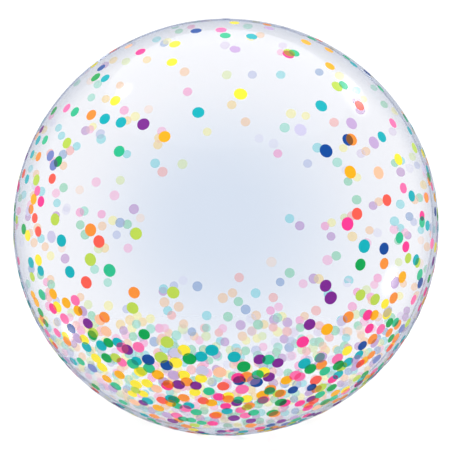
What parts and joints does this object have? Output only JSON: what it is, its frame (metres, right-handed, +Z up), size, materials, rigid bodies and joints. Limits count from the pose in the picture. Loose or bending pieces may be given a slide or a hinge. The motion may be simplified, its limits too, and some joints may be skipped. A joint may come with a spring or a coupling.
{
  "type": "bubble balloon",
  "caption": "Round balloon of clear stretch film printed with small coloured dots, blown up, with a weld round its rim and a small flat spot to rest on.",
  "frame": {"origin": "middle of the flat spot underneath, at the level of the surface it rests on", "axes": "+Z up; -Y towards the front sheet, which faces the viewer; +X to the right of someone facing it; the weld lies in the plane y = 0"},
  "size_m": [0.6144, 0.602, 0.5982],
  "materials": {
    "film": "gloss"
  },
  "bodies": {
    "root": {"balloon": "film"}
  },
  "joints": []
}
